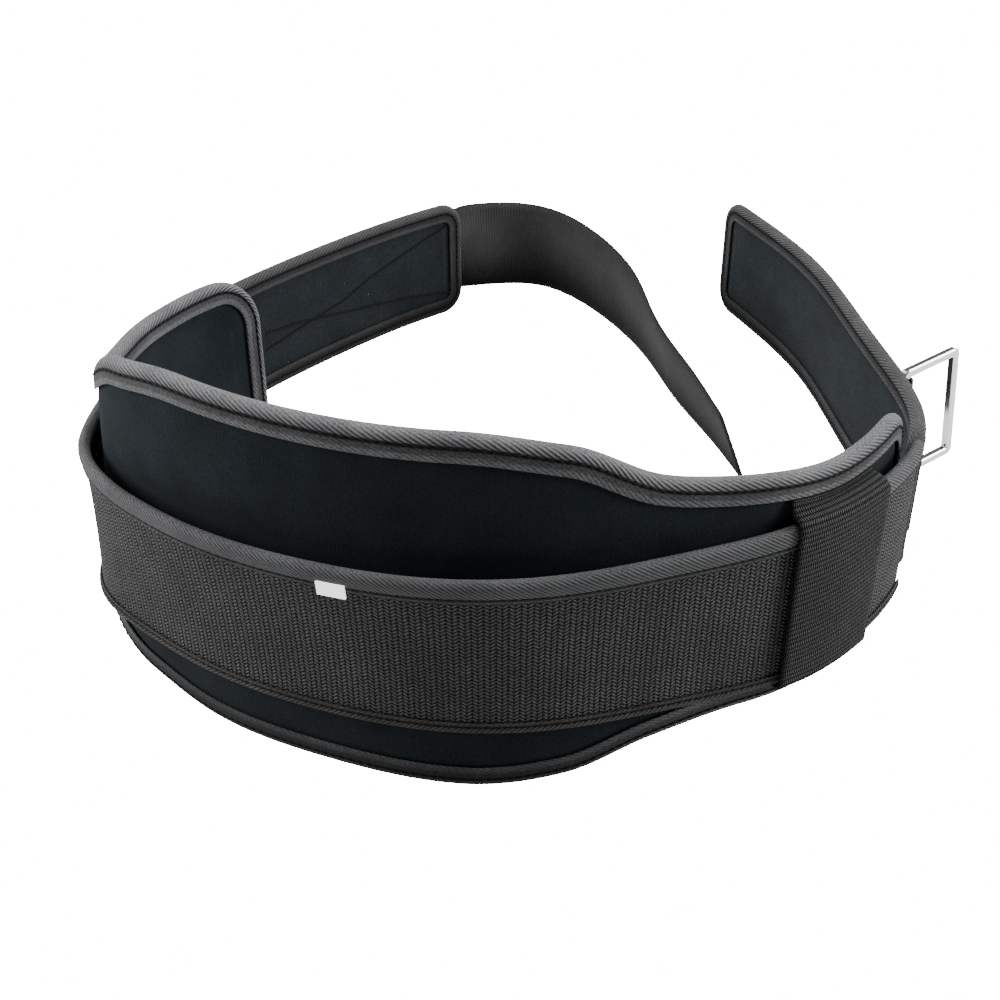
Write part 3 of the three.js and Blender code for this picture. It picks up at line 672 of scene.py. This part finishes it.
def band_sweep(name, stations, section_at, widths_of, material):
    # closed section of (offset, height) carried along the band
    loops = []
    for s in stations:
        sec = section_at(s)
        loops.append(band_point(np.full(len(sec), s), [p[0] for p in sec], [p[1] for p in sec]))
    return sweep_piece(name, loops, stations, widths_of(section_at(stations[0])), material)


# herringbone: columns of yarns that slant one way and then the other
bone_tree, bone_in, bone_out = node_group("herringbone", [
    ("Over", "NodeSocketFloat", 0.0), ("Along", "NodeSocketFloat", 0.0), ("Column", "NodeSocketFloat", 2.25),
    ("Pick", "NodeSocketFloat", 1.75), ("Zigzag", "NodeSocketFloat", 0.85), ("Edge", "NodeSocketFloat", 0.3),
    ("Grain", "NodeSocketFloat", 0.9)], [("Height", "NodeSocketFloat")])


def half_wave(tree, phase):
    return math_node(tree, "SINE", math_node(tree, "MULTIPLY", math_node(tree, "FRACT", phase), math.pi))


bone_cell = math_node(bone_tree, "DIVIDE", bone_in.outputs["Over"], bone_in.outputs["Column"])
bone_turn = math_node(bone_tree, "PINGPONG", bone_cell, 1.0)
bone_zig = math_node(bone_tree, "MULTIPLY", bone_turn, bone_in.outputs["Zigzag"])
bone_picks = math_node(bone_tree, "DIVIDE", bone_in.outputs["Along"], bone_in.outputs["Pick"])
bone_yarn = half_wave(bone_tree, math_node(bone_tree, "ADD", bone_picks, bone_zig))
bone_rib = math_node(bone_tree, "POWER", half_wave(bone_tree, bone_cell), 0.5)
bone_dip = math_node(bone_tree, "SUBTRACT", 1.0, bone_rib)
bone_groove = math_node(bone_tree, "MULTIPLY", bone_dip, bone_in.outputs["Edge"])
bone_fuzz = math_node(bone_tree, "SUBTRACT", object_noise(bone_tree, 900.0, 3.0), 0.5)
bone_grain = math_node(bone_tree, "MULTIPLY", bone_in.outputs["Grain"], bone_fuzz)
bone_height = math_node(bone_tree, "SUBTRACT", math_node(bone_tree, "POWER", bone_yarn, 1.2), bone_groove)
bone_tree.links.new(math_node(bone_tree, "ADD", bone_height, bone_grain), bone_out.inputs["Height"])


def herringbone_material(name, dark, light, weave, strength, across):
    material, tree, shader = new_material(name, 0.8, 0.03, 0.1)
    mm = add_group(tree, cloth_tree)
    bone = add_group(tree, bone_tree)
    tree.links.new(mm.outputs["U"], bone.inputs["Over" if across else "Along"])
    tree.links.new(mm.outputs["V"], bone.inputs["Along" if across else "Over"])
    for label, value in weave.items():
        bone.inputs[label].default_value = value
    colour_cloth(tree, shader, bone.outputs["Height"], dark, light, 0.4, 0.8)
    add_bump(tree, shader, bone.outputs["Height"], strength, 0.0006)
    return material


webbing = herringbone_material(
    "webbing", (0.0015, 0.0015, 0.0017), (0.12, 0.119, 0.122),
    {"Column": 2.25, "Pick": 1.75, "Zigzag": 0.85, "Edge": 0.9, "Grain": 1.1}, 1.0, True)


def web_section(s):
    heights = np.linspace(TAPE_LEAD, WEB_HEIGHT - TAPE_LEAD, 14)
    face = [(float(web_lift(s, z)), float(z)) for z in heights]
    back = [(o - WEB_THICK, z) for o, z in face[::-1]]
    return face + back


web_stations = list(np.linspace(WEB_START, WEB_END, 143))
web = band_sweep("web_panel_cloth", web_stations, web_section, run_widths, webbing)
finish_piece(web, "webbing", "belt", "web_panel")

# Web bindings
# Folded twill tape on the web's upper edge, wide with a round roll, and a narrow one on the lower edge.
# Both are sewn through with one row of stitches.
TOP_FOLD = {"leg": 8.5, "seam": 2.0, "upward": True, "roll": 0.5}
LOW_FOLD = {"leg": 4.0, "seam": 1.7, "upward": False, "roll": 0.3}
WEB_CROWN = 9


def web_fold(leg, seam, upward, roll):
    # (depth from the web's edge, offset): the outer leg, the roll over the edge, then the back and the inside
    lead = TAPE_LEAD

    def section(s):
        groove = leg + lead - seam
        rows = [
            (leg + lead, GAP), (leg + lead + 0.1, 0.8 * lead), (leg + lead - 0.3, lead),
            (groove + 0.9, lead), (groove + 0.2, 0.8 * lead), (groove - 0.5, lead + roll * 0.4),
            (0.35 * leg + lead, lead + roll), (0.2 * leg + lead * 0.6, lead + roll * 0.8),
            (0.45, GAP + roll * 0.6), (0.0, -WEB_THICK / 2), (0.35, -WEB_THICK - GAP - roll * 0.2),
            (1.2 + lead, -WEB_THICK - lead), (leg + lead, -WEB_THICK - lead),
            (leg + lead, -WEB_THICK - GAP), (TAPE, -WEB_THICK - GAP), (TAPE, GAP),
        ]
        out = []
        for d, o in rows:
            z = WEB_HEIGHT - d if upward else d
            out.append((float(o + web_lift(s, z)), z))
        return out
    return section


def web_fold_widths(section):
    return fold_widths(section, WEB_CROWN)


def web_seam(fold):
    s = np.linspace(WEB_START + 1, WEB_END - 1, 300)
    depth = fold["leg"] + TAPE_LEAD - fold["seam"] + 0.2
    z = WEB_HEIGHT - depth if fold["upward"] else depth
    return band_point(s, 0.8 * TAPE_LEAD + 0.1 + web_lift(s, z), z)


web_tape = twill_material(
    "web_tape", (0.004, 0.004, 0.004), (0.13, 0.132, 0.137), 0.7, 1.6, TOP_FOLD["seam"])
narrow_tape = twill_material(
    "narrow_tape", (0.006, 0.0055, 0.005), (0.085, 0.08, 0.075), 0.7, 1.6, LOW_FOLD["seam"])
for name, fold, tape in (("web_top", TOP_FOLD, web_tape), ("web_bottom", LOW_FOLD, narrow_tape)):
    binding = band_sweep(name + "_tape", web_stations, web_fold(**fold), web_fold_widths, tape)
    finish_piece(binding, "binding_tape", "belt", name + "_binding")
sew("web_stitches", [web_seam(TOP_FOLD), web_seam(LOW_FOLD)],
    STITCH_PITCH, STITCH_LENGTH, STITCH_RADIUS, thread, "binding_tape")

# Keepers
# Two webbing bands over the web, ends sewn under the pad's tape. Their ribs run round the belt.
KEEPER_NEAR, KEEPER_FAR, KEEPER_THICK = 190.0, 241.0, 1.5
KEEPER_TUCK, KEEPER_LOW = 0.4, -1.9


def ribbon_section(line, thick):
    # a line thickened to both sides
    line = np.array(line, float)
    ahead = np.diff(line, axis=0)
    ahead /= np.linalg.norm(ahead, axis=1)[:, None]
    along = np.concatenate([ahead[:1], (ahead[1:] + ahead[:-1]), ahead[-1:]])
    along /= np.linalg.norm(along, axis=1)[:, None]
    side = np.stack([-along[:, 1], along[:, 0]], -1) * thick / 2
    return [tuple(p) for p in np.concatenate([line + side, (line - side)[::-1]])]


def rounded_line(corners, per_side):
    # Catmull-Rom line through the corners
    c = np.array([corners[0]] + list(corners) + [corners[-1]], float)
    out = []
    for i in range(1, len(c) - 2):
        for k in range(per_side):
            t = k / per_side
            out.append(0.5 * (2 * c[i] + (c[i + 1] - c[i - 1]) * t
                              + (2 * c[i - 1] - 5 * c[i] + 4 * c[i + 1] - c[i + 2]) * t**2
                              + (3 * c[i] - c[i - 1] - 3 * c[i + 1] + c[i + 2]) * t**3))
    out.append(c[-2])
    return out


def keeper_section(s):
    # (offset, height) from the pad's tape over the web's top, down its outside and back under it
    skin = -PAD_FACE - float(pad_shift(s))
    high = float(pad_top(s)) - GAP - TAPE - PAD_LEG - GAP - KEEPER_TUCK
    low = KEEPER_LOW
    corners = [
        (skin + GAP + KEEPER_THICK / 2, high), (skin + GAP + KEEPER_THICK / 2 + 0.1, high - 1.5),
        (max(skin + 2.2, -2.2), WEB_HEIGHT + 3.7), (0.7, WEB_HEIGHT + 2.8), (2.8, WEB_HEIGHT + 0.6),
        (3.3, WEB_HEIGHT - 3), (3.15, 55), (3.1, 38), (3.05, 20), (3, 3), (2.6, 0), (1, low + 0.1),
        (-0.6, low - 0.2), (skin + GAP + TAPE + 0.6, low - 0.3),
    ]
    return ribbon_section(rounded_line(corners, 3), KEEPER_THICK)


keeper_cloth = herringbone_material(
    "keeper_cloth", (0.0012, 0.0012, 0.0013), (0.075, 0.075, 0.077),
    {"Column": 2.3, "Pick": 1.05, "Zigzag": 0.6, "Edge": 1.3, "Grain": 0.5}, 1.0, False)
for name, sign in (("keeper_right", 1), ("keeper_left", -1)):
    ends = sorted((PAD_MIDDLE + sign * KEEPER_NEAR, PAD_MIDDLE + sign * KEEPER_FAR))
    stations = list(np.linspace(ends[0], ends[1], 22))
    keeper = band_sweep(name + "_cloth", stations, keeper_section, run_widths, keeper_cloth)
    finish_piece(keeper, "webbing", "belt", name)

# Wings
# Soft end panels of the band, velvety loop cloth inside and plain cloth outside, with folded tape round
# their edges. The left one shows the crossed stitch lines that hold the strap outside it.
RIGHT_END, LEFT_END, WING_SPACE = 516.0, -555.0, 0.5
WING_LIFT, WING_HEIGHT, WING_CORNER, WING_LEG = 6.0, 68.0, 14.0, 8.0
WING_REACH, WING_DIP = 3.5, 0.35
wing_faces, wing_edges = (-0.9, -4.9), (-1.3, -4.5)
wing_inset = WING_LEG + PAD_TUCK
wing_cloth = knit_material("wing_cloth", (0.006, 0.0078, 0.0092), (0.027, 0.033, 0.038), 1.4, 0.4, 700.0, 0.05)
wing_tape = twill_material("wing_tape", (0.004, 0.004, 0.004), (0.085, 0.085, 0.089), 0.5, 1.6, 5.0)
wing_fold = fold_section(WING_LEG, PAD_SEAM, wing_inset, wing_faces, wing_edges)


def flat_top(s):
    return 0 * s + WING_LIFT + WING_HEIGHT


def flat_bottom(s):
    return 0 * s + WING_LIFT


def no_shift(s):
    return 0 * s


wing_ends = {
    "right_wing": (WEB_END + WING_SPACE, RIGHT_END),
    "left_wing": (LEFT_END, WEB_START - WING_SPACE),
}
for name, ends in wing_ends.items():
    ring, inward = outline_path(ends[0], ends[1], WING_CORNER, flat_top, flat_bottom, 5.0)
    panel = padded_panel(
        name + "_cloth", ring, inward, wing_inset, WING_REACH, wing_faces, wing_edges, WING_DIP,
        no_shift, wing_cloth)
    finish_piece(panel, "wing_cloth", "belt", name)
    binding = tape_round(name + "_tape", ring, inward, wing_fold, FOLD_CROWN, no_shift, wing_tape)
    finish_piece(binding, "binding_tape", "belt", name + "_binding")
    seam_out = wing_fold[FOLD_GROOVE][1] + STITCH_OUT
    seam_in = wing_faces[0] + wing_faces[1] - seam_out
    sew(name + "_stitches", tape_seams(ring, inward, PAD_SEAM, seam_out, seam_in, no_shift),
        STITCH_PITCH, STITCH_LENGTH, STITCH_RADIUS, thread, "binding_tape", True)

# (distance along, height) of the two crossed seams on the left wing's inner face
CROSS_LINES = [
    [(-545, 62), (-508, 51.5), (-484, 45.5), (-464, 38.5), (-403, 30)],
    [(-549, 18.5), (-507, 25), (-467, 30.5), (-429, 37), (-404, 39.5)],
]
cross_runs = []
for line in CROSS_LINES:
    rows = np.array(line, float)
    run_s = np.linspace(rows[0, 0], rows[-1, 0], 80)
    cross_runs.append(band_point(run_s, wing_faces[1] + 0.1, np.interp(run_s, rows[:, 0], rows[:, 1])))
sew("left_wing_cross_lines", cross_runs, 2.2, 3.0, 0.85, thread, "wing_cloth")

# Strap
# Two inch webbing sewn flat on the outside of the left wing, then free: it curves round and leans, and its
# cut end stands on edge.
STRAP_WIDTH, STRAP_THICK, STRAP_FREE = 49.5, 1.6, 278.0
STRAP_FROM, STRAP_TO, STRAP_OFF, STRAP_RISE = -500.0, -556.0, 1.95, 42.5
STRAP_STEPS, STRAP_ACROSS = 288, 12
# share of the free length, then heading, climb and lean in degrees
STRAP_LINE = [
    (0, 36, -1.8, -3), (0.04, 24, -1.9, -14.5), (0.08, 17, -3, -18.5), (0.13, 7, -4.2, -15.5),
    (0.19, -15, -5.3, -7), (0.25, -38, -6.5, -2.7), (0.32, -50.5, -7.5, 0), (0.40, -59, -8, 2.6),
    (0.48, -65.5, -9, 5.7), (0.57, -74, -10, 10), (0.65, -75.5, -10, 13.8), (0.74, -70, -9, 17.2),
    (0.83, -69, -7.5, 19.5), (0.91, -73, -7, 21), (1, -73, -7, 23),
]


def strap_root(s):
    # on the left wing's outer face, where the strap is sewn down
    turn = math.radians(float(heading_of(s)))
    x = np.interp(s, plan_s, plan_x) + STRAP_OFF * math.sin(turn)
    y = np.interp(s, plan_s, plan_y) - STRAP_OFF * math.cos(turn)
    return np.array([x, y, STRAP_RISE])


def pointing(heading, climb):
    h, c = math.radians(float(heading)), math.radians(float(climb))
    return np.array([math.cos(h) * math.cos(c), math.sin(h) * math.cos(c), math.sin(c)])


def strap_frames():
    # (middle, heading, climb, lean, length so far) from the sewn end to the cut end
    shares = [r[0] for r in STRAP_LINE]
    heading, climb, lean = (natural_spline(shares, [r[i] for r in STRAP_LINE]) for i in (1, 2, 3))
    frames = []
    for s in np.linspace(STRAP_FROM, STRAP_TO, 15)[:-1]:
        frames.append((strap_root(s), float(heading_of(s)) + 180, 0.0, 0.0, STRAP_FROM - s))
    spot = strap_root(STRAP_TO)
    start = STRAP_FROM - STRAP_TO
    for i in range(STRAP_STEPS + 1):
        u = i / STRAP_STEPS
        if i % 3 == 0:
            frames.append((spot.copy(), heading(u), climb(u), float(lean(u)), start + u * STRAP_FREE))
        v = u + 0.5 / STRAP_STEPS
        spot += pointing(heading(v), climb(v)) * STRAP_FREE / STRAP_STEPS
    return frames


def strap_mesh(name, frames, material):
    loops = []
    for centre, heading, climb, lean, _ in frames:
        t = pointing(heading, climb)
        a = math.radians(lean)
        side = np.array([t[1], -t[0], 0.0])
        side /= np.linalg.norm(side)
        up = np.cross(side, t)
        w = up * math.cos(a) + side * math.sin(a)
        n = np.cross(t, w)
        rows = np.linspace(-STRAP_WIDTH / 2, STRAP_WIDTH / 2, STRAP_ACROSS)
        thin = np.where(np.abs(rows) > STRAP_WIDTH / 2 - 1, 0.7, 1.0) * STRAP_THICK / 2
        near = [centre + w * r + n * q for r, q in zip(rows, thin)]
        far = [centre + w * r - n * q for r, q in zip(rows[::-1], thin[::-1])]
        loops.append(settle(np.array(near + far)))
    side_widths = [k * STRAP_WIDTH / (STRAP_ACROSS - 1) for k in range(STRAP_ACROSS)]
    widths = side_widths + side_widths[::-1] + [0.0]
    return sweep_piece(name, loops, [f[4] for f in frames], widths, material)


strap_cloth = herringbone_material(
    "strap_cloth", (0.006, 0.006, 0.0065), (0.052, 0.052, 0.054),
    {"Column": 1.6, "Pick": 60.0, "Zigzag": 0.0, "Edge": 0.5, "Grain": 0.5}, 0.5, True)
strap = strap_mesh("strap_cloth", strap_frames(), strap_cloth)
finish_piece(strap, "webbing", "belt", "strap")

# Buckle ring
# Bright plated flat bar bent to a rectangle. The CAD solid keeps its shape and gets the finish.
ring_metal, _, ring_shader = new_material("ring_metal", 0.16, 0.0, 0.5)
ring_shader.inputs["Metallic"].default_value = 1.0
ring_shader.inputs["Base Color"].default_value = (0.83, 0.82, 0.79, 1)
ring_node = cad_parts["buckle_ring"]
ring_node.data.materials.clear()
ring_node.data.materials.append(ring_metal)

# Buckle tab
# Doubled webbing sewn on the outside of the right wing. Its loop runs round the ring's inner bar and it is
# the same cloth as the web.
RING_FOOT, RING_UP = np.array([194.8, 182.9, 35.5]), np.array([-5.0, 1.6, 59.0])
TAB_FROM, TAB_LEAVES, TAB_HEIGHT, TAB_LEAF, TAB_EYE = 244.0, 260.0, 49.4, 1.1, 3.3
TAB_STAND, TAB_SPLIT = 0.65, 0.1
# where each leaf nears the bar: ahead of and aside from the bar's middle
TAB_NECK = [(-14, 0.8), (-8, 1.4), (-5, 2.6)]


def tab_line(eye):
    # centre line of the loop in plan: outer leaf, round the bar, inner leaf
    near_off = TAB_STAND + TAB_LEAF / 2
    far_off = TAB_STAND + TAB_SPLIT + TAB_LEAF * 1.5
    runs = np.linspace(TAB_FROM, TAB_LEAVES, 4)
    near = [band_raw(s, near_off, eye[2])[:2] for s in runs]
    far = [band_raw(s, far_off, eye[2])[:2] for s in runs]
    ahead = eye[:2] - (near[-1] + far[-1]) / 2
    ahead /= np.linalg.norm(ahead)
    aside = np.array([ahead[1], -ahead[0]])
    round_bar = TAB_EYE + TAB_LEAF / 2
    line = far + [eye[:2] + ahead * a + aside * b for a, b in TAB_NECK]
    for turn in np.radians(np.linspace(110, -110, 13)):
        line.append(eye[:2] + round_bar * (ahead * math.cos(turn) + aside * math.sin(turn)))
    return line + [eye[:2] + ahead * a - aside * b for a, b in TAB_NECK[::-1]] + near[::-1]


tab_rises = np.linspace(-0.5, 0.5, 9) * TAB_HEIGHT
tab_loops = []
for rise in tab_rises:
    eye = RING_FOOT + RING_UP / np.linalg.norm(RING_UP) * rise
    plan = ribbon_section(tab_line(eye), TAB_LEAF)
    tab_loops.append(np.array([(x, y, eye[2]) for x, y in plan]))
tab_runs = np.concatenate([[0], np.cumsum(np.linalg.norm(np.diff(tab_loops[0], axis=0), axis=1))])
tab_count = len(tab_loops[0])
tab_quads, tab_uvs = [], []
for i in range(len(tab_rises) - 1):
    for k in range(tab_count):
        n = (k + 1) % tab_count
        low, high = i * tab_count, (i + 1) * tab_count
        tab_quads.append((low + k, low + n, high + n, high + k))
        tab_uvs += [(tab_runs[k], tab_rises[i]), (tab_runs[n], tab_rises[i]),
                    (tab_runs[n], tab_rises[i + 1]), (tab_runs[k], tab_rises[i + 1])]
# the flat upper and lower edges are closed by strips between the ribbon's two sides
tab_last = (len(tab_rises) - 1) * tab_count
for base, rise, flip in ((0, tab_rises[0], True), (tab_last, tab_rises[-1], False)):
    for k in range(tab_count // 2 - 1):
        quad = (base + k, base + k + 1, base + tab_count - 2 - k, base + tab_count - 1 - k)
        tab_quads.append(quad[::-1] if flip else quad)
        tab_uvs += [(tab_runs[k], rise)] * 4
tab_points = settle(np.concatenate(tab_loops))
tab = new_piece("buckle_tab_cloth", tab_points, tab_quads, np.array(tab_uvs) * MM, webbing)
finish_piece(tab, "webbing", "belt", "buckle_tab")

# Size tag
# Small bare white tag folded under the web's upper tape. It glows faintly, painted light that makes it a
# brighter white.
tag_cloth, _, tag_shader = new_material("tag_cloth", 0.8, 0.0, 0.2)
tag_shader.inputs["Base Color"].default_value = (0.95, 0.95, 0.95, 1)
# painted light: a faint white glow on the tag
tag_shader.inputs["Emission Color"].default_value = (1, 1, 1, 1)
tag_shader.inputs["Emission Strength"].default_value = 1.3
tag_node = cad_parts["size_tag"]
tag_node.data.materials.clear()
tag_node.data.materials.append(tag_cloth)

# Floor, light and camera
# Plain white floor and white room, one large soft light above and behind, one at each side, and the camera at
# the photo's angle. Only the camera sees the white glow, so that it doesn't wash out the cloth.
FLOOR_SIZE, WHITE_GLOW, GLOW_IN_METAL, ROOM_LIGHT = 60.0, 25.0, 0.03, 0.15
far = FLOOR_SIZE / 2
floor_mesh = bpy.data.meshes.new("floor")
floor_mesh.from_pydata([(-far, -far, 0), (far, -far, 0), (far, far, 0), (-far, far, 0)], [], [(0, 1, 2, 3)])
floor_material, floor_tree, floor_shader = new_material("floor_white", 0.9, 0.0, 0.0)
floor_shader.inputs["Base Color"].default_value = (0.5, 0.5, 0.5, 1)
floor_rays = floor_tree.nodes.new("ShaderNodeLightPath")
floor_glossy = math_node(floor_tree, "MULTIPLY", floor_rays.outputs["Is Glossy Ray"], GLOW_IN_METAL)
floor_seen = math_node(floor_tree, "MAXIMUM", floor_rays.outputs["Is Camera Ray"], floor_glossy)
floor_tree.links.new(floor_seen, floor_shader.inputs["Emission Color"])
floor_shader.inputs["Emission Strength"].default_value = WHITE_GLOW
floor_mesh.materials.append(floor_material)
floor = bpy.data.objects.new("floor", floor_mesh)
bpy.context.collection.objects.link(floor)

world = bpy.data.worlds.new("studio")
world.use_nodes = True
sky = world.node_tree.nodes["Background"]
sky.inputs["Color"].default_value = (1, 1, 1, 1)
sky_rays = world.node_tree.nodes.new("ShaderNodeLightPath")
sky_seen = sky_rays.outputs["Is Camera Ray"]
sky_strength = math_node(world.node_tree, "MULTIPLY_ADD", sky_seen, WHITE_GLOW, ROOM_LIGHT)
world.node_tree.links.new(sky_strength, sky.inputs["Strength"])
bpy.context.scene.world = world


def area_light(name, place, target, size, power):
    light = bpy.data.lights.new(name, "AREA")
    light.size = size
    light.energy = power
    obj = bpy.data.objects.new(name, light)
    obj.location = place
    obj.rotation_euler = (Vector(target) - Vector(place)).to_track_quat("-Z", "Y").to_euler()
    bpy.context.collection.objects.link(obj)


LIT_POINT = (0, 0, 0.05)
area_light("top_light", (0.0, 0.45, 1.5), LIT_POINT, 1.4, 34.0)
area_light("left_light", (-1.6, 0.05, 0.7), LIT_POINT, 1.0, 40.0)
area_light("right_light", (1.6, -0.05, 0.7), LIT_POINT, 1.0, 40.0)

CAMERA_AT, CAMERA_DOWN, CAMERA_LENS, SENSOR_WIDTH = (0.0, -412.5, 366.0), 32.1, 50.4, 36.0
camera_data = bpy.data.cameras.new("camera")
camera_data.lens = CAMERA_LENS
camera_data.sensor_width = SENSOR_WIDTH
camera = bpy.data.objects.new("camera", camera_data)
camera.location = settle(np.array(CAMERA_AT, float))
camera.rotation_euler = (math.radians(90 - CAMERA_DOWN) - tilt, 0, 0)
bpy.context.collection.objects.link(camera)
bpy.context.scene.camera = camera
